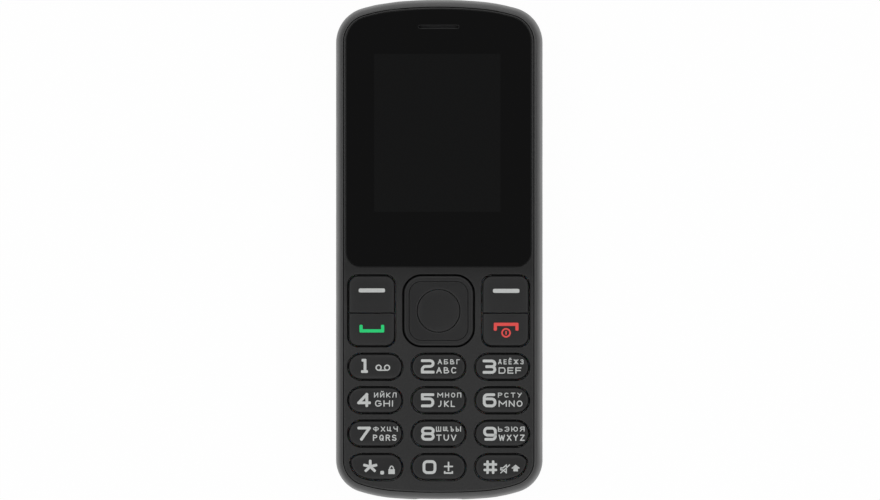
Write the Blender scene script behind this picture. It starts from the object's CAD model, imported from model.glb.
import math

import bpy
import numpy as np
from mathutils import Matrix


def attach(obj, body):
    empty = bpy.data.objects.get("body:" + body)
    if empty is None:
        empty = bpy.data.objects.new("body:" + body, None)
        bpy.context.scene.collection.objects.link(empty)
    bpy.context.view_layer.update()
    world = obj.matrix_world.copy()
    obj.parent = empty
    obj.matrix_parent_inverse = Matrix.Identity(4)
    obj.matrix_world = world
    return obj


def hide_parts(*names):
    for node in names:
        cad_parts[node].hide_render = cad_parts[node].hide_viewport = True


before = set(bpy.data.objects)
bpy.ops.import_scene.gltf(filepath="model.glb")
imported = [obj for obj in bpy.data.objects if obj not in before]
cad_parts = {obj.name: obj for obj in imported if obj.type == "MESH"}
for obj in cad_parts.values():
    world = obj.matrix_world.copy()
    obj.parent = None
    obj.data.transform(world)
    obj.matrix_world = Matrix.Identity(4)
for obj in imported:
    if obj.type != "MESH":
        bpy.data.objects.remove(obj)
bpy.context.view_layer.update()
print("frame loaded:", len(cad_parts), "nodes")

mm = 0.001  # shapes are worked out in millimetres, and addPiece makes them metres

phone = {
    "width": 46.0,
    "length": 111.4,
    "topEnd": (2.17, 0.2155, 0.845, 0.3758),  # crown and its reach, shoulder and its reach, shares of the width
    "bottomEnd": (3.1, 0.2108, 0.755, 0.3878),
}
search = {"reach": 120.0, "halvings": 44, "rays": 1440}  # how an outline's points are found along rays


def endDistance(x, y, shares):
    # How far a point lies inside one end: three tangent arcs (crown, shoulder, corner) and the straight side.
    # Each arc counts in the sector that its own centre and turn give it.
    crown, crownReach, shoulder, shoulderReach = shares
    half = phone["width"] / 2
    crownTurn = math.asin(crownReach / crown)
    shoulderTurn = math.asin(math.sin(crownTurn) + (shoulderReach - crownReach) / shoulder)
    r0, r1 = crown * phone["width"], shoulder * phone["width"]
    r2 = (half - phone["width"] * shoulderReach) / (1 - math.sin(shoulderTurn))
    y0 = phone["length"] / 2 - r0
    x1, y1 = (r0 - r1) * math.sin(crownTurn), y0 + (r0 - r1) * math.cos(crownTurn)
    x2, y2 = x1 + (r1 - r2) * math.sin(shoulderTurn), y1 + (r1 - r2) * math.cos(shoulderTurn)
    inCorner = np.where(y > y2, r2 - np.hypot(x - x2, y - y2), half - x)
    inShoulder = np.arctan2(x - x1, y - y1) < shoulderTurn
    inCrown = np.arctan2(x, y - y0) < crownTurn
    d = np.where(inShoulder, r1 - np.hypot(x - x1, y - y1), inCorner)
    return np.where(inCrown, r0 - np.hypot(x, y - y0), d)


def bodyDistance(x, y):
    # distance inwards from the phone's widest outline
    u = np.abs(x)
    return np.where(y > 0, endDistance(u, y, phone["topEnd"]), endDistance(u, -y, phone["bottomEnd"]))


def boxDistance(x, y, width, height, corner):
    # distance inwards from a rectangle with round corners
    u, v = np.abs(x) - width / 2 + corner, np.abs(y) - height / 2 + corner
    return corner - np.hypot(np.maximum(u, 0), np.maximum(v, 0)) - np.minimum(np.maximum(u, v), 0)


def roundMeet(a, b, corner):
    # the common part of two shapes, with its corners rounded
    return np.maximum(corner, np.minimum(a, b)) - np.hypot(np.maximum(corner - a, 0), np.maximum(corner - b, 0))


def rayOutline(distance, centre, inset, angles):
    # the points where rays from the centre come to the given distance from the edge, by halving
    near, far = np.zeros_like(angles), np.full_like(angles, search["reach"])
    c, s = np.cos(angles), np.sin(angles)
    for _ in range(search["halvings"]):
        middle = (near + far) / 2
        inside = distance(centre[0] + middle * c, centre[1] + middle * s) > inset
        near, far = np.where(inside, middle, near), np.where(inside, far, middle)
    return np.stack([centre[0] + near * c, centre[1] + near * s], axis=1)


def evenAngles(distance, centre, count):
    # ray angles that share out the outline's length and its turning in equal steps
    dense = np.linspace(0, 2 * np.pi, search["rays"] + 1)[:-1]
    p = rayOutline(distance, centre, 0.0, dense)
    step = np.roll(p, -1, axis=0) - p
    length = np.hypot(step[:, 0], step[:, 1])
    heading = np.arctan2(step[:, 1], step[:, 0])
    turn = np.abs((np.roll(heading, -1) - heading + np.pi) % (2 * np.pi) - np.pi)
    turn = (turn + np.roll(turn, 1)) / 2
    weight = np.concatenate([[0], np.cumsum(length / length.sum() + turn / turn.sum())])
    return np.interp(np.linspace(0, weight[-1], count + 1)[:-1], weight, np.append(dense, 2 * np.pi))


def ringFaces(rings, count, looped):
    # quads between neighbouring rings of equal count, the last one joined to the first where looped
    k = np.arange(rings if looped else rings - 1)[:, None]
    i = np.arange(count)[None, :]
    after, beside = (k + 1) % rings, (i + 1) % count
    quads = np.stack([k * count + i, k * count + beside, after * count + beside, after * count + i], axis=-1)
    return quads.reshape(-1, 4).tolist()


def closedShell(rings):
    # rings from the bottom's middle outwards, up the side and inwards over the top, with a pole at each end
    stack = np.stack(rings)
    rows, count = stack.shape[:2]
    low, high = stack[0].mean(axis=0), stack[-1].mean(axis=0)
    verts = np.concatenate([stack.reshape(-1, 3), [low, high]])
    i = np.arange(count)
    j = (i + 1) % count
    bottom = np.stack([np.full(count, rows * count), j, i], axis=1)
    last = (rows - 1) * count
    top = np.stack([np.full(count, rows * count + 1), last + i, last + j], axis=1)
    return verts, ringFaces(rows, count, False) + bottom.tolist() + top.tolist()


def loopedShell(rings):
    # rings that close on themselves, for a piece with a hole
    stack = np.stack(rings)
    rows, count = stack.shape[:2]
    return stack.reshape(-1, 3), ringFaces(rows, count, True)


def blockShell(xRange, yRange, zRange):
    # the eight corners and six sides of a block
    corners = np.array([(x, y, z) for z in zRange for y in yRange for x in xRange])
    faces = [[0, 2, 3, 1], [4, 5, 7, 6], [0, 1, 5, 4], [1, 3, 7, 5], [3, 2, 6, 7], [2, 0, 4, 6]]
    return corners, faces


def joined(parts):
    # several shells as one, each one's faces counted on from the points before it
    verts, faces = [], []
    total = 0
    for v, f in parts:
        verts.append(v)
        faces += [[n + total for n in face] for face in f]
        total += len(v)
    return np.concatenate(verts), faces


def addPiece(name, shell, material, body, stands=(), sharp=40):
    # stands names the CAD nodes that it takes the place of; edges that turn by more than sharp degrees stay sharp
    verts, faces = shell
    mesh = bpy.data.meshes.new(name)
    mesh.from_pydata((np.asarray(verts) * mm).tolist(), [], faces)
    mesh.update()
    mesh.shade_smooth()
    mesh.set_sharp_from_angle(angle=math.radians(sharp))
    mesh.materials.append(material)
    piece = bpy.data.objects.new(name, mesh)
    bpy.context.scene.collection.objects.link(piece)
    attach(piece, body)
    if stands:
        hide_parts(*stands)


def quarterTurn(radius, steps):
    # inset and drop of a rounded edge from its foot to its top: r(1 - cos t) and r(1 - sin t)
    turns = np.radians(np.linspace(0, 90, steps))
    return [(radius * (1 - math.cos(turn)), radius * (1 - math.sin(turn))) for turn in turns]


def withHeight(points, height):
    # flat points raised to one height or to a height each
    return np.column_stack([points, np.broadcast_to(height, len(points))])


def addNode(tree, kind, **values):
    # a value goes to the input of its name, with _ for a space, or else to the node's own setting
    node = tree.nodes.new(kind)
    for key, value in values.items():
        label = key.replace("_", " ")
        if label in node.inputs:
            node.inputs[label].default_value = value
        else:
            setattr(node, key, value)
    return node


def addMaths(tree, operation, first, second=0.0):
    # first and second are outputs to link or numbers to set
    node = addNode(tree, "ShaderNodeMath", operation=operation)
    for socket, value in zip(node.inputs, (first, second)):
        if isinstance(value, float):
            socket.default_value = value
        else:
            tree.links.new(value, socket)
    return node.outputs[0]


def mixShaders(tree, factor, first, second):
    # from the first where the factor is 0 to the second where it is 1
    blend = addNode(tree, "ShaderNodeMixShader")
    for value, socket in zip((factor, first, second), blend.inputs):
        tree.links.new(value, socket)
    return blend.outputs[0]


def greyRamp(tree, value, stops):
    # a colour ramp through greys: (position, level) pairs, lowest first
    ramp = addNode(tree, "ShaderNodeValToRGB")
    elements = ramp.color_ramp.elements
    while len(elements) < len(stops):
        elements.new(0.5)
    for element, (position, level) in zip(elements, stops):
        element.position, element.color = position, (level, level, level, 1)
    tree.links.new(value, ramp.inputs["Fac"])
    return ramp.outputs["Color"]


def newGroup(name, inputs, outputs):
    group = bpy.data.node_groups.new(name, "ShaderNodeTree")
    for label, kind, value in inputs:
        socket = group.interface.new_socket(label, in_out="INPUT", socket_type=kind)
        if value is not None:
            socket.default_value = value
    for label in outputs:
        group.interface.new_socket(label, in_out="OUTPUT", socket_type="NodeSocketFloat")
    return group, group.nodes.new("NodeGroupInput"), group.nodes.new("NodeGroupOutput")


def makeGrain():
    # spark-eroded mould texture: a fine noise for height and tone, and a broad one for patches
    group, given, out = newGroup(
        "mouldGrain",
        [("Vector", "NodeSocketVector", None), ("Grain Scale", "NodeSocketFloat", 2600.0),
         ("Patch Scale", "NodeSocketFloat", 90.0)],
        ["Height", "Tone", "Patch"],
    )
    fine = addNode(group, "ShaderNodeTexNoise", Detail=3.0, Roughness=0.6)
    broad = addNode(group, "ShaderNodeTexNoise", Detail=4.0, Roughness=0.55)
    tone = addNode(group, "ShaderNodeMapRange", From_Min=0.3, From_Max=0.7)
    patch = addNode(group, "ShaderNodeMapRange", From_Min=0.35, From_Max=0.65)
    link = group.links.new
    link(given.outputs["Vector"], fine.inputs["Vector"])
    link(given.outputs["Vector"], broad.inputs["Vector"])
    link(given.outputs["Grain Scale"], fine.inputs["Scale"])
    link(given.outputs["Patch Scale"], broad.inputs["Scale"])
    link(fine.outputs["Fac"], tone.inputs["Value"])
    link(broad.outputs["Fac"], patch.inputs["Value"])
    link(fine.outputs["Fac"], out.inputs["Height"])
    link(tone.outputs["Result"], out.inputs["Tone"])
    link(patch.outputs["Result"], out.inputs["Patch"])
    return group


def makeRolled():
    # rolled or brushed sheet: a noise stretched along the rolling direction
    group, given, out = newGroup(
        "rolledSheet",
        [("Vector", "NodeSocketVector", None), ("Line Scale", "NodeSocketFloat", 900.0)],
        ["Height", "Tone"],
    )
    stretch = addNode(group, "ShaderNodeMapping", Scale=(1.0, 0.04, 1.0))
    lines = addNode(group, "ShaderNodeTexNoise", Detail=2.0)
    link = group.links.new
    link(given.outputs["Vector"], stretch.inputs["Vector"])
    link(stretch.outputs["Vector"], lines.inputs["Vector"])
    link(given.outputs["Line Scale"], lines.inputs["Scale"])
    link(lines.outputs["Fac"], out.inputs["Height"])
    link(lines.outputs["Fac"], out.inputs["Tone"])
    return group


def makeDust():
    # handling film: broad soft patches broken by specks, from 0 where clean to 1 where dull
    group, given, out = newGroup(
        "handlingFilm",
        [("Vector", "NodeSocketVector", None), ("Film Scale", "NodeSocketFloat", 60.0)],
        ["Film"],
    )
    soft = addNode(group, "ShaderNodeTexNoise", Detail=5.0, Roughness=0.7)
    level = addNode(group, "ShaderNodeMapRange", From_Min=0.45, From_Max=0.8)
    link = group.links.new
    link(given.outputs["Vector"], soft.inputs["Vector"])
    link(given.outputs["Film Scale"], soft.inputs["Scale"])
    link(soft.outputs["Fac"], level.inputs["Value"])
    link(level.outputs["Result"], out.inputs["Film"])
    return group


grainGroup, rolledGroup, dustGroup = makeGrain(), makeRolled(), makeDust()
print("node groups ready")


def placeGroup(tree, group, place, **values):
    node = addNode(tree, "ShaderNodeGroup", node_tree=group, **values)
    tree.links.new(place, node.inputs["Vector"])
    return node


def startMaterial(name, **sockets):
    material = bpy.data.materials.new(name)
    material.use_nodes = True
    shader = material.node_tree.nodes["Principled BSDF"]
    for key, value in sockets.items():
        shader.inputs[key.replace("_", " ")].default_value = value
    place = addNode(material.node_tree, "ShaderNodeTexCoord")
    return material, material.node_tree, shader, place.outputs["Object"]


def mixColours(tree, factor, low, high):
    # a Mix node's colours are its inputs 6 and 7 and its output 2
    mix = addNode(tree, "ShaderNodeMix", data_type="RGBA")
    mix.inputs[6].default_value, mix.inputs[7].default_value = (*low, 1), (*high, 1)
    tree.links.new(factor, mix.inputs["Factor"])
    return mix.outputs[2]


def spread(tree, value, low, high):
    # a value from 0 to 1 spread out from low to high
    level = addNode(tree, "ShaderNodeMapRange", To_Min=low, To_Max=high)
    tree.links.new(value, level.inputs["Value"])
    return level.outputs["Result"]


def bumpFrom(tree, shader, height, distance):
    bump = addNode(tree, "ShaderNodeBump", Strength=1.0, Distance=distance)
    tree.links.new(height, bump.inputs["Height"])
    tree.links.new(bump.outputs["Normal"], shader.inputs["Normal"])


def shadeAlong(tree, place, colour, stops):
    # the tone is multiplied by a share that changes along Y: (place in millimetres, share) pairs, lowest first
    start, end = stops[0][0], stops[-1][0]
    axes = addNode(tree, "ShaderNodeSeparateXYZ")
    tree.links.new(place, axes.inputs["Vector"])
    level = addNode(tree, "ShaderNodeMapRange", From_Min=start * mm, From_Max=end * mm)
    tree.links.new(axes.outputs["Y"], level.inputs["Value"])
    shares = greyRamp(tree, level.outputs["Result"], [((at - start) / (end - start), share) for at, share in stops])
    product = addNode(tree, "ShaderNodeMix", data_type="RGBA", blend_type="MULTIPLY")
    product.inputs["Factor"].default_value = 1.0
    tree.links.new(colour, product.inputs[6])
    tree.links.new(shares, product.inputs[7])
    return product.outputs[2]


filmLook = {"tone": (0.4, 0.39, 0.37, 1), "scaleShare": 0.7}


def plasticFinish(name, colour, contrast, rough, grainScale=2600.0, grainDepth=0.00001, patchScale=90.0, film=0.0,
                  shade=(), **more):
    # moulded plastic or rubber: tone and roughness follow the grain, a light film dulls patches of it
    material, tree, shader, place = startMaterial(name, **more)
    grain = placeGroup(tree, grainGroup, place, Grain_Scale=grainScale, Patch_Scale=patchScale)
    dust = placeGroup(tree, dustGroup, place, Film_Scale=patchScale * filmLook["scaleShare"])
    low = tuple(c * (1 - contrast) for c in colour)
    high = tuple(c * (1 + contrast) for c in colour)
    tone = mixColours(tree, grain.outputs["Tone"], low, high)
    dull = addNode(tree, "ShaderNodeMix", data_type="RGBA")
    dull.inputs[7].default_value = filmLook["tone"]
    tree.links.new(spread(tree, dust.outputs["Film"], 0.0, film), dull.inputs["Factor"])
    tree.links.new(tone, dull.inputs[6])
    finished = shadeAlong(tree, place, dull.outputs[2], shade) if shade else dull.outputs[2]
    tree.links.new(finished, shader.inputs["Base Color"])
    tree.links.new(spread(tree, grain.outputs["Patch"], *rough), shader.inputs["Roughness"])
    bumpFrom(tree, shader, grain.outputs["Height"], grainDepth)
    return material


def metalFinish(name, colour, rough, lineScale=900.0, lineDepth=0.000002, lowShare=0.82):
    # sheet metal: rolling lines in tone, roughness and height
    material, tree, shader, place = startMaterial(name, Metallic=1.0)
    lines = placeGroup(tree, rolledGroup, place, Line_Scale=lineScale)
    tone = mixColours(tree, lines.outputs["Tone"], tuple(c * lowShare for c in colour), colour)
    tree.links.new(tone, shader.inputs["Base Color"])
    tree.links.new(spread(tree, lines.outputs["Tone"], *rough), shader.inputs["Roughness"])
    bumpFrom(tree, shader, lines.outputs["Height"], lineDepth)
    return material


shellLook = {
    "colour": (0.0225, 0.0225, 0.0227), "contrast": 0.22, "rough": (0.48, 0.56),
    "grainScale": 2200.0, "grainDepth": 0.000012, "patchScale": 110.0, "film": 0.012,
    "shade": ((-52.5, 1.0), (-49.0, 0.88), (-14.0, 0.86), (-7.0, 0.62), (-4.0, 0.36), (0.0, 0.6), (30.0, 0.8)),
    "Specular_IOR_Level": 0.35,
}
coverLook = {
    "colour": (0.018, 0.018, 0.0182), "contrast": 0.12, "rough": (0.36, 0.42),
    "grainScale": 3200.0, "grainDepth": 0.000004, "patchScale": 80.0, "film": 0.01,
    "Specular_IOR_Level": 0.9,
}
keyLook = {
    "colour": (0.0152, 0.0152, 0.0155), "contrast": 0.08, "rough": (0.42, 0.48),
    "grainScale": 4200.0, "grainDepth": 0.000002, "patchScale": 70.0, "film": 0.006,
    "Specular_IOR_Level": 0.36,
}
ringLook = {**keyLook, "rough": (0.4, 0.46)}
printLook = {"contrast": 0.05, "rough": (0.5, 0.6), "grainDepth": 0.000002}
printColours = {"grey": (0.55, 0.565, 0.555), "green": (0.006, 0.66, 0.185), "red": (0.8, 0.07, 0.062)}

frontShell = plasticFinish("frontShellMatt", **shellLook)
coverShell = plasticFinish("coverShellMatt", **coverLook)
keySatin = plasticFinish("keycapSatin", **keyLook)
ringSatin = plasticFinish("ringSatin", **ringLook)
printGrey = plasticFinish("printGrey", printColours["grey"], **printLook)
printGreen = plasticFinish("printGreen", printColours["green"], **printLook)
printRed = plasticFinish("printRed", printColours["red"], **printLook)

windowLook = {
    "black": (0.0016, 0.0016, 0.0017), "panel": (0.0042, 0.0043, 0.0044),
    "panelMiddle": (-0.3, 25.95), "panelSize": (28.03, 35.04), "panelSoftness": 0.12,
    "filmScale": 45.0, "rough": (0.035, 0.075),
}


def makeWindow():
    # Polished black window: the lit area of the display shows as a slightly lighter rectangle.
    # Its mask is the product of two smooth steps of the distance from its middle, along X and along Y.
    material, tree, shader, place = startMaterial("windowGloss", IOR=1.5)
    axes = addNode(tree, "ShaderNodeSeparateXYZ")
    tree.links.new(place, axes.inputs["Vector"])
    soft, masks = windowLook["panelSoftness"], []
    for axis, middle, size in zip("XY", windowLook["panelMiddle"], windowLook["panelSize"]):
        away = addMaths(tree, "ABSOLUTE", addMaths(tree, "SUBTRACT", axes.outputs[axis], middle * mm))
        edge = addNode(tree, "ShaderNodeMapRange", interpolation_type="SMOOTHSTEP", To_Min=1.0, To_Max=0.0,
                       From_Min=(size / 2 - soft) * mm, From_Max=(size / 2 + soft) * mm)
        tree.links.new(away, edge.inputs["Value"])
        masks.append(edge.outputs["Result"])
    tone = mixColours(tree, addMaths(tree, "MULTIPLY", *masks), windowLook["black"], windowLook["panel"])
    tree.links.new(tone, shader.inputs["Base Color"])
    film = placeGroup(tree, dustGroup, place, Film_Scale=windowLook["filmScale"])
    tree.links.new(spread(tree, film.outputs["Film"], *windowLook["rough"]), shader.inputs["Roughness"])
    return material


windowGloss = makeWindow()
print("main finishes ready")

window = {
    "inset": 2.41, "lift": 0.2, "bottom": -3.84, "corner": 3.34,
    "low": 12.15, "high": 13.15, "edgeRound": 0.1, "edgeBand": 0.1,
    "slotY": 49.5, "slotWidth": 9.0, "slotHeight": 0.7, "slotRound": 0.06, "slotBand": 0.12,
    "outerRays": 220, "slotRays": 64, "roundSteps": 6, "across": (0.0, 0.1, 0.4, 0.7, 0.95, 1.0),
    "slotSteps": ((1.0, 0.0), (0.3, 0.3), (0.0, 1.0)),  # outwards and down, as shares of slotRound
}


def windowDistance(x, y):
    # the phone's outline moved in and up, cut off below with round corners
    return roundMeet(bodyDistance(x, y - window["lift"]) - window["inset"], y - window["bottom"], window["corner"])


def slotDistance(x, y):
    # the earpiece slot, a flat stadium
    return boxDistance(x, y - window["slotY"], window["slotWidth"], window["slotHeight"], window["slotHeight"] / 2)


def windowShell():
    # rings from the slot's lower edge out under the pane, up its rounded edge and back over it to the slot
    centre = (0.0, window["slotY"])
    angles = np.sort(np.concatenate([evenAngles(windowDistance, centre, window["outerRays"]),
                                     evenAngles(slotDistance, centre, window["slotRays"])]))

    def outer(inset):
        return rayOutline(windowDistance, centre, inset, angles)

    def slot(inset):
        return rayOutline(slotDistance, centre, inset, angles)

    radius, top, small = window["edgeRound"], window["high"], window["slotRound"]
    rings = [withHeight(slot(0.0), window["low"]), withHeight(outer(0.0), window["low"])]
    rings += [withHeight(outer(inset), top - drop) for inset, drop in quarterTurn(radius, window["roundSteps"])]
    edge, hole = outer(radius + window["edgeBand"]), slot(-small - window["slotBand"])
    rings += [withHeight(edge + (hole - edge) * share, top) for share in window["across"]]
    rings += [withHeight(slot(-small * out), top - small * down) for out, down in window["slotSteps"]]
    return loopedShell(rings)


addPiece("window_pane", windowShell(), windowGloss, "housing", ["display_lens"], sharp=35)
print("window made")

# low is the underside of the feet, and flange the top of the tabs that hold each key in
keys = {
    "low": 11.11, "flange": 11.6, "top": 13.3, "edgeRound": 0.42, "gap": 0.31,
    "pitchX": 14.077, "pitchY": 7.42, "firstY": -25.99, "width": 12.447, "height": 6.26,
    "cornerInset": 3.15, "cornerMeet": 0.45, "crownX": 0.2, "crownY": 0.44, "crownPower": 4.0, "flangeReach": 0.3,
    "rays": 112, "roundSteps": 7, "footRings": (0.5, 1.0), "faceRings": (0.93, 0.82, 0.7, 0.56, 0.42, 0.28, 0.14),
}
# the upper and the lower key at each side share one rounded rectangle, cut by a slit at the height of split
pair = {
    "x": 14.875, "y": -13.57, "width": 10.85, "height": 16.2, "corner": 2.35, "split": -14.07, "slit": 0.16,
    "meet": 0.3, "slitSteep": 2.6, "crownX": 0.32, "crownY": 0.4, "edgeRound": 0.4, "flangeBack": 0.3,
}
crowns = {}  # each key's middle and the height of its face, for the legends


def crownOf(middle, half, top, dropX, dropY):
    # height of a key's face: flat in the middle, falling with a power of the way to each side
    def height(x, y):
        u, v = np.abs(x - middle[0]) / half[0], np.abs(y - middle[1]) / half[1]
        return top - dropX * u ** keys["crownPower"] - dropY * v ** keys["crownPower"]
    return height


def capShell(distance, centre, crown, edgeRound):
    # from the middle of the foot outwards, up the side, round the upper edge and in over the dome
    angles = evenAngles(distance, centre, keys["rays"])
    foot = rayOutline(distance, centre, 0.0, angles)
    middle = np.array(centre)
    rings = [withHeight(middle + (foot - middle) * share, keys["low"]) for share in keys["footRings"]]
    for inset, drop in quarterTurn(edgeRound, keys["roundSteps"]):
        rim = rayOutline(distance, centre, inset, angles)
        rings.append(withHeight(rim, crown(rim[:, 0], rim[:, 1]) - drop))
    for share in keys["faceRings"]:
        p = middle + (rim - middle) * share
        rings.append(withHeight(p, crown(p[:, 0], p[:, 1])))
    return closedShell(rings)


def numberOutline(x, y, clipped):
    # a stadium about the key's middle, cut by the phone's outline where clipped, less the gap
    def distance(px, py):
        shape = boxDistance(px - x, py - y, keys["width"], keys["height"], keys["height"] / 2)
        if clipped:
            shape = roundMeet(shape, bodyDistance(px, py) - keys["cornerInset"], keys["cornerMeet"])
        return shape - keys["gap"]
    return distance


def pairOutline(x, cut, way):
    # the part of a rounded rectangle above the slit where way is 1, or below it where way is -1, less the gap
    def distance(px, py):
        whole = boxDistance(px - x, py - pair["y"], pair["width"], pair["height"], pair["corner"]) - keys["gap"]
        return roundMeet(whole, pair["slitSteep"] * way * (py - cut), pair["meet"])
    return distance


numberKeys = ["1", "2", "3", "4", "5", "6", "7", "8", "9", "star", "0", "hash"]
for index, label in enumerate(numberKeys):
    row, column = divmod(index, 3)
    lowest = row == 3
    x, y = (column - 1) * keys["pitchX"], keys["firstY"] - row * keys["pitchY"]
    crown = crownOf((x, y), (keys["width"] / 2, keys["height"] / 2), keys["top"], keys["crownX"], keys["crownY"])
    cap = capShell(numberOutline(x, y, lowest and column != 1), (x, y), crown, keys["edgeRound"])
    reach = keys["height"] / 2 + keys["flangeReach"]
    tab = (keys["width"] - keys["height"]) / 2
    flange = blockShell((x - tab, x + tab), (y if lowest else y - reach, y + reach), (keys["low"], keys["flange"]))
    addPiece(f"cap_{label}", joined([cap, flange]), keySatin, f"key_{label}", [f"key_{label}"])
    crowns[label] = (x, y), crown

for body, side, way in (("soft_key_left", -1, 1), ("call_key", -1, -1), ("soft_key_right", 1, 1), ("end_key", 1, -1)):
    x, y = side * pair["x"], pair["y"]
    cut = pair["split"] + way * pair["slit"] / 2
    end = y + way * pair["height"] / 2
    crown = crownOf((x, y), (pair["width"] / 2, pair["height"] / 2), keys["top"], pair["crownX"], pair["crownY"])
    cap = capShell(pairOutline(x, cut, way), (x, (cut + end) / 2), crown, pair["edgeRound"])
    tab = pair["width"] / 2 - pair["corner"]
    span = sorted((cut + way * pair["flangeBack"], end + way * keys["flangeReach"]))
    flange = blockShell((x - tab, x + tab), span, (keys["low"], keys["flange"]))
    addPiece(f"cap_{body}", joined([cap, flange]), keySatin, body, [body])
    crowns[body] = (x, y), crown
print("key caps made")

ring = {
    "y": -13.57, "width": 16.1, "height": 16.2, "corner": 4.3, "rim": 1.12, "low": 11.45, "rays": 144,
    "top": 13.2, "floor": 13.12, "innerEdge": 13.08, "floorPower": 1.5, "hole": 4.8, "edgeRound": 0.5,
    "groove": 0.18, "grooveDepth": 0.25, "grooveSlope": 0.02,
    "rimRound": ((-0.12, 0.0), (-0.03, -0.03), (0.0, -0.1)),  # steps inwards from the rim, and up from its top
    "floorRound": ((0.0, -0.05), (0.05, -0.01), (0.15, 0.0)),  # inwards from the groove, up from the floor
    "holeBand": 0.14, "holeRound": ((0.04, -0.04), (0.0, -0.14)),  # outwards from the hole, up from its edge
    "floorRings": (0.2, 0.4, 0.6, 0.8, 1.0),
}
middleKey = {"radius": 4.68, "top": 13.22, "crown": 0.2, "edgeRound": 0.1}


def ringDistance(x, y):
    # a rounded rectangle, less the gap
    return boxDistance(x, y - ring["y"], ring["width"], ring["height"], ring["corner"]) - keys["gap"]


def ringShell():
    # Out along the underside, up the side, over the raised rim, through the groove and in to the round hole.
    # The floor is a straight blend from the square outline to the hole's circle, and falls with a power of the way.
    centre = (0.0, ring["y"])
    angles = evenAngles(ringDistance, centre, ring["rays"])

    def square(inset):
        return rayOutline(ringDistance, centre, inset, angles)

    def circle(radius):
        return np.stack([radius * np.cos(angles), ring["y"] + radius * np.sin(angles)], axis=1)

    top, floor, innerEdge = ring["top"], ring["floor"], ring["innerEdge"]
    rings = [withHeight(circle(ring["hole"]), ring["low"]), withHeight(square(0.0), ring["low"])]
    steps = [(inset, top - drop) for inset, drop in quarterTurn(ring["edgeRound"], keys["roundSteps"])]
    rim, groove, bottom = ring["rim"], ring["rim"] + ring["groove"], floor - ring["grooveDepth"]
    steps += [(rim + inwards, top + up) for inwards, up in ring["rimRound"]]
    steps += [(rim + ring["grooveSlope"], bottom), (groove - ring["grooveSlope"], bottom)]
    steps += [(groove + inwards, floor + up) for inwards, up in ring["floorRound"]]
    rings += [withHeight(square(inset), height) for inset, height in steps]
    outer, inner = square(steps[-1][0]), circle(ring["hole"] + ring["holeBand"])
    for share in ring["floorRings"]:
        height = floor + (innerEdge - floor) * share ** ring["floorPower"]
        rings.append(withHeight(outer + (inner - outer) * share, height))
    rings += [withHeight(circle(ring["hole"] + outwards), innerEdge + up) for outwards, up in ring["holeRound"]]
    return loopedShell(rings)


def middleKeyDistance(x, y):
    # a circle about the ring's middle
    return middleKey["radius"] - np.hypot(x, y - ring["y"])


addPiece("cap_nav_ring", ringShell(), ringSatin, "nav_ring", ["nav_ring"], sharp=50)
middle = (0, ring["y"])
crown = crownOf(middle, (middleKey["radius"],) * 2, middleKey["top"], middleKey["crown"], middleKey["crown"])
cap = capShell(middleKeyDistance, middle, crown, middleKey["edgeRound"])
addPiece("cap_ok_key", cap, ringSatin, "ok_key", ["ok_key"])
print("ring and middle key made")

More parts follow.
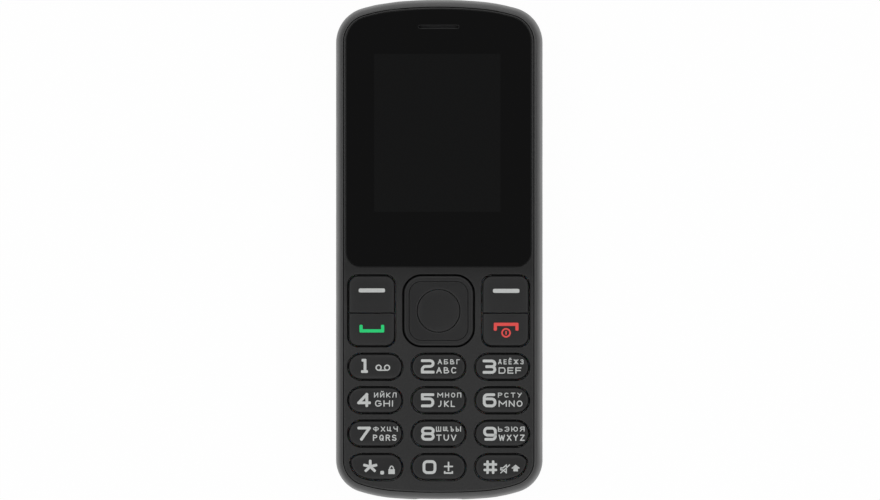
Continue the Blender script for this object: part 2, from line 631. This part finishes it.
# Each sign is a list of strokes on a grid of 8 by 8, two digits a point, first x and then y.
# A stroke that starts with ~ has round corners, the others are straight runs. a and b are 10 and 11.
signs = {
    "0": "~40 80 88 08 00 40", "1": "18 58 50,00 80", "2": "~08 88 84 04 00,00 80", "3": "~08 88 84 24,~24 84 80 00",
    "4": "60 68 02 82", "5": "88 08 05,~05 85 80 00", "6": "~78 08 00 80 85 05", "7": "08 88 20",
    "8": "~48 88 84 04 08 48,~44 84 80 00 04 44", "9": "~10 80 88 08 03 83",
    "A": "00 48 80,23 63", "B": "00 08,~08 68 64 04,~04 84 80 00", "C": "~77 58 08 00 50 71",
    "D": "00 08,~08 48 88 80 40 00", "E": "88 08 00 80,04 74", "F": "88 08 00,04 74",
    "G": "~77 58 08 00 60 82,82 84 54", "H": "00 08,80 88,04 84", "I": "40 48", "J": "~68 60 00",
    "K": "00 08,88 14 80", "L": "08 00 80", "M": "00 08 43 88 80", "N": "00 08 80 88",
    "O": "~48 88 80 00 08 48", "P": "00 08,~08 88 84 04", "Q": "~48 88 80 00 08 48,53 80",
    "R": "00 08,~08 88 84 04,44 80", "S": "~77 58 08 04 84 80 30 01", "T": "08 88,48 40", "U": "~08 00 80 88",
    "V": "08 40 88", "W": "08 20 47 60 88", "X": "08 80,00 88", "Y": "08 44 88,44 40", "Z": "08 88 00 80",
    "Б": "78 08 00,~04 84 80 00", "Г": "00 08 78", "Д": "00 02 82 80,22 38 68 62",
    "Ё": "88 08 00 80,04 74,2b 2a,6b 6a", "Ж": "40 48,08 44 00,88 44 80",
    "З": "~07 38 78 84 34,~34 84 80 30 01", "И": "08 00 88 80", "Й": "08 00 88 80,~2b 3a 5a 6b",
    "Л": "00 28 88 80", "П": "00 08 88 80", "У": "08 54,88 20", "Ф": "40 48,~47 87 82 02 07 47",
    "Ц": "08 01 81 80,61 68", "Ч": "~08 04 84,88 80", "Ш": "08 00 80 88,40 48",
    "Щ": "08 01 81 80,31 38,61 68", "Ъ": "08 28 20,~24 84 80 20", "Ы": "08 00,~04 54 50 00,80 88",
    "Ь": "08 00,~04 84 80 00", "Э": "~07 28 88 80 20 01,34 84", "Ю": "00 08,04 34,~58 88 80 30 38 58",
    "Я": "80 88,~88 08 04 84,44 00",
    "message": "~04 08 38 30 00 04,~54 58 88 80 50 54,20 60", "lock": "00 80,01 81,02 82,03 83,04 84,~14 18 78 74",
    "dot": "34 54", "star": "44 48,44 85,44 71,44 11,44 05", "hash": "20 28,60 68,02 82,06 86",
    "plus": "48 42,05 85,01 00 80 81", "mute": "03 05 25 58 50 23 03,00 88",
    "arrow": "04 48 84 04,15 75,26 66,20 24,30 36,40 46,50 56,60 64", "dash": "04 84", "receiver": "08 00 80 88",
    "hungUp": "00 08 88 80", "circle": "~48 88 80 00 08 48", "bar": "42 46",
}
signs.update({alike: signs[letter] for alike, letter in zip("АВЕКМНОРСТХ", "ABEKMHOPCTX")})

# For each key: what is printed, the middle of its box from the key's middle, the box's width and height,
# and the stroke's width where it isn't the usual one.
legends = {
    "1": [("1", -2.38, 0.2, 1.56, 3.13), ("@message", 1.7, -0.19, 3.28, 1.41, 0.28)],
    "2": [("2", -2.41, 0.1, 3.03, 3.15), ("АБВГ", 2.31, 1.12, 5.0, 1.12), ("ABC", 1.76, -0.76, 4.56, 1.41)],
    "3": [("3", -2.78, 0.05, 3.03, 3.15), ("ДЕЁЖЗ", 2.0, 1.12, 5.7, 1.12), ("DEF", 1.78, -0.8, 5.06, 1.41)],
    "4": [("4", -2.46, 0.05, 3.0, 3.12), ("ИЙКЛ", 2.24, 1.15, 5.0, 1.12), ("GHI", 1.96, -0.72, 4.0, 1.41)],
    "5": [("5", -2.43, 0.0, 2.95, 3.1), ("МНОП", 2.39, 1.15, 5.3, 1.1), ("JKL", 1.76, -0.78, 3.75, 1.41)],
    "6": [("6", -2.74, 0.0, 3.03, 3.1), ("РСТУ", 1.75, 1.15, 5.3, 1.1), ("MNO", 1.91, -0.74, 5.31, 1.41)],
    "7": [("7", -2.46, 0.0, 2.97, 3.1), ("ФХЦЧ", 2.24, 1.02, 5.5, 1.12), ("PQRS", 2.12, -0.9, 5.25, 1.38)],
    "8": [("8", -2.38, 0.0, 3.03, 3.1), ("ШЩЪЫ", 2.2, 1.04, 5.56, 1.12), ("TUV", 1.71, -0.88, 4.47, 1.38)],
    "9": [("9", -2.67, 0.0, 3.03, 3.1), ("ЬЭЮЯ", 2.06, 1.03, 5.9, 1.12), ("WXYZ", 2.14, -0.88, 5.78, 1.38)],
    "star": [("@star", -1.1, 0.12, 3.13, 3.03, 0.6), ("@dot", 1.55, -1.24, 0.9, 0.87, 0.84),
             ("@lock", 3.65, -0.6, 1.44, 1.9, 0.26)],
    "0": [("0", -2.02, 0.0, 3.06, 3.08), ("@plus", 2.21, -0.14, 2.03, 2.69, 0.34)],
    "hash": [("@hash", -2.58, 0.0, 3.03, 3.0, 0.55), ("@mute", 0.72, -0.38, 2.2, 2.0, 0.24),
             ("@arrow", 3.03, -0.19, 1.75, 1.47, 0.24)],
    "soft_key_left": [("@dash", 0.06, 4.54, 5.86, 0.9, 0.89)],
    "soft_key_right": [("@dash", 0.14, 4.45, 5.9, 0.92, 0.91)],
    "call_key": [("@receiver", 0.06, -3.94, 5.5, 1.72, 0.72)],
    "end_key": [("@hungUp", 0.13, -3.51, 5.52, 1.78, 0.72), ("@circle", 0.11, -4.86, 2.14, 2.14, 0.36),
                ("@bar", 0.11, -4.86, 1.2, 1.4, 0.3)],
}
legendPrints = {"call_key": printGreen, "end_key": printRed}
printed = {
    "digitStroke": 0.62, "latinStroke": 0.24, "otherStroke": 0.19, "rise": 0.018, "sink": 0.05,
    "stagger": 0.004, "staggers": 3, "grid": 8, "doubled": 0.000001,
    "wide": "MWМЖШЩЫЮФ", "narrow": "EFLJГЕЁ", "wideShare": 1.25, "narrowShare": 0.72, "usualShare": 0.85,
    "letterGap": 0.42, "step": 0.22, "digitCorner": 2.3, "letterCorner": 4.0, "cornerPoints": 8, "leastWeight": 0.02,
    "endTurns": (12, 35, 58, 80), "endPower": 0.45,
}


def softCorners(points, reach):
    # each inner point gives way to a conic arc whose weight is the cosine of half its turn
    if len(points) < 3:
        return points
    before, at, after = points[:-2], points[1:-1], points[2:]
    back, on = before - at, after - at
    backLength, onLength = np.linalg.norm(back, axis=1), np.linalg.norm(on, axis=1)
    backShare, onShare = np.full(len(at), 0.5), np.full(len(at), 0.5)
    backShare[0], onShare[-1] = 1.0, 1.0
    a = at + back / backLength[:, None] * np.minimum(reach, backLength * backShare)[:, None]
    b = at + on / onLength[:, None] * np.minimum(reach, onLength * onShare)[:, None]
    cosTurn = -(back * on).sum(axis=1) / backLength / onLength
    weight = np.sqrt(np.clip((1 + cosTurn) / 2, printed["leastWeight"], 1))[:, None, None]
    t = np.linspace(0, 1, printed["cornerPoints"])[None, :, None]
    wa, wv, wb = (1 - t) ** 2, 2 * weight * t * (1 - t), t ** 2
    curve = (wa * a[:, None] + wv * at[:, None] + wb * b[:, None]) / (wa + wv + wb)
    return np.concatenate([points[:1], curve.reshape(-1, 2), points[-1:]])


def evenPath(points, step):
    # the same path with points at equal steps along it, its doubled points left out
    runs = np.linalg.norm(np.diff(points, axis=0), axis=1)
    points = points[np.concatenate([[True], runs > printed["doubled"]])]
    way = np.concatenate([[0], np.cumsum(np.linalg.norm(np.diff(points, axis=0), axis=1))])
    count = max(2, int(math.ceil(way[-1] / step)) + 1)
    at = np.linspace(0, way[-1], count)
    return np.stack([np.interp(at, way, points[:, 0]), np.interp(at, way, points[:, 1])], axis=1)


def ribbonShell(path, halfWidth, height, rise, sink):
    # A flat bar carried along the path. An open one has softly squared ends, where its width follows a superellipse,
    # and a path that comes back to its start closes on itself.
    closed = np.allclose(path[0], path[-1])
    if closed:
        line = path[:-1]
        along = np.roll(line, -1, axis=0) - np.roll(line, 1, axis=0)
        half = np.full((len(line), 1), halfWidth)
    else:
        tangent = np.gradient(path, axis=0)
        tangent /= np.linalg.norm(tangent, axis=1)[:, None]
        turn = np.radians(np.array(printed["endTurns"]))
        start = path[0] - tangent[0] * halfWidth * np.cos(turn)[:, None]
        end = path[-1] + tangent[-1] * halfWidth * np.cos(turn[::-1])[:, None]
        line = np.concatenate([start, path, end])
        first, last = np.repeat(tangent[:1], len(turn), axis=0), np.repeat(tangent[-1:], len(turn), axis=0)
        along = np.concatenate([first, tangent, last])
        rounding = np.sin(turn) ** printed["endPower"]
        half = np.concatenate([rounding, np.ones(len(path)), rounding[::-1]])[:, None] * halfWidth
    along = along / np.linalg.norm(along, axis=1)[:, None]
    side = np.stack([-along[:, 1], along[:, 0]], axis=1) * half
    left, right = line + side, line - side
    rows = [withHeight(p, height(p[:, 0], p[:, 1]) + lift)
            for p, lift in ((left, -sink), (left, rise), (right, rise), (right, -sink))]
    n = len(line)
    j, i = np.arange(len(rows))[:, None], np.arange(n if closed else n - 1)[None, :]
    k, m = (j + 1) % len(rows), (i + 1) % n
    quads = np.stack([j * n + i, k * n + i, k * n + m, j * n + m], axis=-1).reshape(-1, 4).tolist()
    ends = [] if closed else [[3 * n, 2 * n, n, 0], [n - 1, 2 * n - 1, 3 * n - 1, 4 * n - 1]]
    return np.concatenate(rows), quads + ends


def strokesOf(sign, reach):
    # the strokes as point arrays from 0 to 1, straight runs split at their corners
    for stroke in signs[sign].split(","):
        points = np.array([[int(c, 16) for c in point] for point in stroke.lstrip("~").split()], float)
        if stroke.startswith("~"):
            yield softCorners(points, reach) / printed["grid"]
        else:
            for a, b in zip(points[:-1], points[1:]):
                yield np.array([a, b]) / printed["grid"]


def shareOf(sign, alone):
    # a sign's width as a share of a letter's room; an I is one upright stroke and takes none
    if alone:
        return 1.0
    if sign == "I":
        return 0.0
    if sign in printed["wide"]:
        return printed["wideShare"]
    return printed["narrowShare"] if sign in printed["narrow"] else printed["usualShare"]


def strokeWidth(text):
    # the usual stroke of digits, of Latin letters and of the others
    if text.isdigit():
        return printed["digitStroke"]
    return printed["latinStroke"] if text.isascii() else printed["otherStroke"]


def legendShell(entries, middle, height):
    # one ribbon for each stroke; crossing strokes get slightly different heights
    parts = []
    for text, x, y, width, tall, *ownStroke in entries:
        row = [text[1:]] if text.startswith("@") else list(text)
        stroke = ownStroke[0] if ownStroke else strokeWidth(text)
        reach = printed["digitCorner"] if text.isdigit() else printed["letterCorner"]
        shares = [shareOf(sign, len(row) == 1) for sign in row]
        gap = printed["letterGap"] + stroke
        unit = (width - stroke - gap * (len(row) - 1)) / sum(shares)
        left = middle[0] + x - (width - stroke) / 2
        low = middle[1] + y - (tall - stroke) / 2
        for sign, share in zip(row, shares):
            for line in strokesOf(sign, reach):
                path = evenPath(line * (unit * share, tall - stroke) + (left, low), printed["step"])
                rise = printed["rise"] + len(parts) % printed["staggers"] * printed["stagger"]
                parts.append(ribbonShell(path, stroke / 2, height, rise, printed["sink"]))
            left += unit * share + gap
    return joined(parts)


for label, entries in legends.items():
    middle, height = crowns[label]
    body = f"key_{label}" if label in numberKeys else label
    addPiece(f"legend_{label}", legendShell(entries, middle, height), legendPrints.get(label, printGrey), body,
             sharp=60)
print("legends made")

boardLook = {
    "mask": (0.006, 0.055, 0.022), "track": (0.02, 0.11, 0.04), "rough": (0.35, 0.5), "trackHeight": 0.00002,
    "tracks": {"Scale": 420.0, "Mortar_Size": 0.03, "Brick_Width": 0.9, "Row_Height": 0.35},
}
meshLook = {"hole": (0.004, 0.004, 0.004), "wire": (0.04, 0.04, 0.041), "rough": (0.7, 0.4), "scale": 1300.0,
            "wireHeight": 0.00004}


def makeBoard():
    # green mask over copper tracks: the tracks are the joints of a brick pattern
    material, tree, shader, place = startMaterial("boardMask", Coat_Weight=0.35, Coat_Roughness=0.2)
    tracks = addNode(tree, "ShaderNodeTexBrick", **boardLook["tracks"])
    tree.links.new(place, tracks.inputs["Vector"])
    tone = mixColours(tree, tracks.outputs["Fac"], boardLook["mask"], boardLook["track"])
    tree.links.new(tone, shader.inputs["Base Color"])
    grain = placeGroup(tree, grainGroup, place, Grain_Scale=1800.0)
    tree.links.new(spread(tree, grain.outputs["Patch"], *boardLook["rough"]), shader.inputs["Roughness"])
    bumpFrom(tree, shader, tracks.outputs["Fac"], boardLook["trackHeight"])
    return material


def makeMesh():
    # blackened woven mesh: two crossed waves give the wires
    material, tree, shader, place = startMaterial("earpieceMesh", Metallic=0.6)
    waves = []
    for axis in "XY":
        wave = addNode(tree, "ShaderNodeTexWave", bands_direction=axis, Scale=meshLook["scale"])
        tree.links.new(place, wave.inputs["Vector"])
        waves.append(wave.outputs["Fac"])
    wires = addMaths(tree, "MAXIMUM", *waves)
    tree.links.new(mixColours(tree, wires, meshLook["hole"], meshLook["wire"]), shader.inputs["Base Color"])
    tree.links.new(spread(tree, wires, *meshLook["rough"]), shader.inputs["Roughness"])
    bumpFrom(tree, shader, wires, meshLook["wireHeight"])
    return material


innerShell = plasticFinish("innerShellBlack", (0.02, 0.02, 0.021), 0.1, (0.42, 0.55), patchScale=120.0)
foamTape = plasticFinish("foamTape", (0.012, 0.012, 0.012), 0.3, (0.8, 0.95), grainScale=1500.0, grainDepth=0.00003)
silicone = plasticFinish("keymatSilicone", (0.42, 0.42, 0.42), 0.06, (0.4, 0.5), Subsurface_Weight=0.25,
                         Subsurface_Scale=0.001)
trayWhite = plasticFinish("trayWhite", (0.68, 0.68, 0.67), 0.04, (0.35, 0.45))
polariser = plasticFinish("polariserFilm", (0.012, 0.012, 0.014), 0.05, (0.08, 0.14), grainDepth=0.000001)
amberFilm = plasticFinish("amberFilm", (0.42, 0.17, 0.025), 0.1, (0.25, 0.35), grainScale=700.0, Coat_Weight=0.4)
packageBlack = plasticFinish("packageBlack", (0.016, 0.016, 0.017), 0.2, (0.5, 0.65), grainScale=3400.0)
lampResin = plasticFinish("lampResin", (0.78, 0.72, 0.45), 0.06, (0.12, 0.2), grainDepth=0.000002)
batteryFilm = plasticFinish("batteryFilm", (0.05, 0.052, 0.058), 0.06, (0.3, 0.4), grainScale=900.0, Coat_Weight=0.3)
rolledSteel = metalFinish("rolledSteel", (0.56, 0.56, 0.55), (0.28, 0.42))
blackenedSteel = metalFinish("blackenedSteel", (0.02, 0.02, 0.021), (0.5, 0.65))  # no glint in the gap round the ring
nickelSheet = metalFinish("nickelSheet", (0.6, 0.58, 0.53), (0.2, 0.32), lineScale=1400.0)
goldSheet = metalFinish("goldSheet", (0.83, 0.62, 0.3), (0.22, 0.35), lineScale=1200.0)

nodeFinishes = {
    frontShell: ["front_housing"], coverShell: ["rear_cover"], innerShell: ["rear_housing"],
    foamTape: ["lens_tape", "speaker_gasket"], makeMesh(): ["earpiece_mesh"], silicone: ["keymat"],
    blackenedSteel: ["nav_rocker_plate"],
    rolledSteel: ["key_domes", "shield_cans", "charging_socket", "vibration_motor",
                  "motor_weight", "housing_screws"],
    polariser: ["lcd_panel"], trayWhite: ["lcd_frame"], amberFilm: ["lcd_flex"], makeBoard(): ["main_board"],
    packageBlack: ["processor_chip", "battery_contacts", "headphone_jack", "loudspeaker", "earpiece"],
    lampResin: ["keypad_leds"],
    nickelSheet: ["sim_holder_1", "sim_holder_2", "memory_card_holder", "microphone"],
    goldSheet: ["antenna", "battery_terminals"], batteryFilm: ["battery"], windowGloss: ["display_lens"],
    keySatin: ["nav_ring", "ok_key", "soft_key_left", "soft_key_right", "call_key", "end_key",
               *[f"key_{label}" for label in numberKeys]],
}
for material, names in nodeFinishes.items():
    for name in names:
        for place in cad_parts[name].material_slots:
            place.material = material
print("node finishes set")

stageLook = {"size": 6.0, "drop": 0.0002, "glow": 0.975, "colour": (0.88, 0.88, 0.88), "patchShare": 0.985}


def makeFloor():
    # white for the camera and for mirrors, with the object's shadow left in it; seen from below it isn't there
    material, tree, shader, place = startMaterial("floorWhite", Roughness=0.9)
    grain = placeGroup(tree, grainGroup, place, Grain_Scale=40.0, Patch_Scale=3.0)
    low = tuple(c * stageLook["patchShare"] for c in stageLook["colour"])
    tree.links.new(mixColours(tree, grain.outputs["Patch"], low, stageLook["colour"]), shader.inputs["Base Color"])
    glow = addNode(tree, "ShaderNodeEmission", Strength=1.0)
    path = addNode(tree, "ShaderNodeLightPath")
    seen = addMaths(tree, "MAXIMUM", path.outputs["Is Camera Ray"], path.outputs["Is Glossy Ray"])
    seen = addMaths(tree, "MAXIMUM", seen, path.outputs["Is Transmission Ray"])
    lit = mixShaders(tree, addMaths(tree, "MULTIPLY", seen, stageLook["glow"]), shader.outputs[0], glow.outputs[0])
    clear = addNode(tree, "ShaderNodeBsdfTransparent")
    facing = addNode(tree, "ShaderNodeNewGeometry")
    surface = mixShaders(tree, facing.outputs["Backfacing"], lit, clear.outputs[0])
    tree.links.new(surface, tree.nodes["Material Output"].inputs["Surface"])
    return material


half = stageLook["size"] / 2
floorCorners = [(x, y, -stageLook["drop"]) for x, y in ((-half, -half), (half, -half), (half, half), (-half, half))]
floorMesh = bpy.data.meshes.new("floor")
floorMesh.from_pydata(floorCorners, [], [[0, 1, 2, 3]])
floorMesh.materials.append(makeFloor())
floor = bpy.data.objects.new("floor", floorMesh)
bpy.context.scene.collection.objects.link(floor)

sky = {
    "levels": ((0.0, 1.0), (0.2, 0.5), (0.58, 0.42), (0.73, 1.56), (0.87, 1.3), (0.95, 0.14), (1.0, 0.12)),
    "gain": 2,  # the ramp holds levels up to this
    "frontShare": 0.12,
}


def makeSky():
    # A light tent: its brightness follows the height of the direction, it is open above the lens and a little
    # brighter towards -Y. The camera sees white paper in its place.
    world = bpy.data.worlds.new("lightTent")
    bpy.context.scene.world = world
    world.use_nodes = True
    tree = world.node_tree
    tent = tree.nodes["Background"]
    place = addNode(tree, "ShaderNodeTexCoord")
    axes = addNode(tree, "ShaderNodeSeparateXYZ")
    tree.links.new(place.outputs["Generated"], axes.inputs["Vector"])
    gain, share = sky["gain"], sky["frontShare"]
    levels = greyRamp(tree, axes.outputs["Z"], [(height, level / gain) for height, level in sky["levels"]])
    tree.links.new(levels, tent.inputs["Color"])
    side = addNode(tree, "ShaderNodeMapRange", From_Min=-1.0, To_Min=gain * (1 + share), To_Max=gain * (1 - share))
    tree.links.new(axes.outputs["Y"], side.inputs["Value"])
    tree.links.new(side.outputs["Result"], tent.inputs["Strength"])
    paper = addNode(tree, "ShaderNodeBackground", Color=(1.0, 1.0, 1.0, 1.0), Strength=1.0)
    path = addNode(tree, "ShaderNodeLightPath")
    surface = mixShaders(tree, path.outputs["Is Camera Ray"], tent.outputs[0], paper.outputs[0])
    tree.links.new(surface, tree.nodes["World Output"].inputs["Surface"])


makeSky()

lamps = {
    "frontBox": {"way": (0.0, -1.0), "rise": 15.0, "reach": 1.3, "power": 2.0, "size": (2.4, 0.4)},
    "backBox": {"way": (0.0, 1.0), "rise": 16.0, "reach": 1.3, "power": 3.2, "size": (2.4, 0.4)},
}
for name, look in lamps.items():
    lamp = bpy.data.lights.new(name, "AREA")
    lamp.shape, lamp.energy = "RECTANGLE", look["power"]
    lamp.size, lamp.size_y = look["size"]
    box = bpy.data.objects.new(name, lamp)
    rise, turn = math.radians(look["rise"]), math.atan2(look["way"][1], look["way"][0])
    level, height = look["reach"] * math.cos(rise), look["reach"] * math.sin(rise)
    box.location = (level * math.cos(turn), level * math.sin(turn), height)
    box.rotation_euler = (math.pi / 2 - rise, 0, turn + math.pi / 2)
    bpy.context.scene.collection.objects.link(box)

view = {"pxPerMm": 4.489, "imageWidth": 880, "distance": 1.6, "aim": (0.156, -0.056, 7.5), "lean": 1.6,
        "sensor": 36.0, "clipEnd": 20.0}
camera = bpy.data.cameras.new("camera")
cameraObject = bpy.data.objects.new("camera", camera)
bpy.context.scene.collection.objects.link(cameraObject)
lean = math.radians(view["lean"])
camera.sensor_width = view["sensor"]
camera.lens = camera.sensor_width * view["distance"] / (view["imageWidth"] / view["pxPerMm"] * mm)
camera.clip_end = view["clipEnd"]
cameraObject.location = (
    view["aim"][0] * mm + view["distance"] * math.sin(lean),
    view["aim"][1] * mm,
    view["aim"][2] * mm + view["distance"] * math.cos(lean),
)
cameraObject.rotation_euler = (0, lean, 0)
bpy.context.scene.camera = cameraObject
bpy.context.scene.view_settings.view_transform = "Standard"
print("stage, light and camera ready")
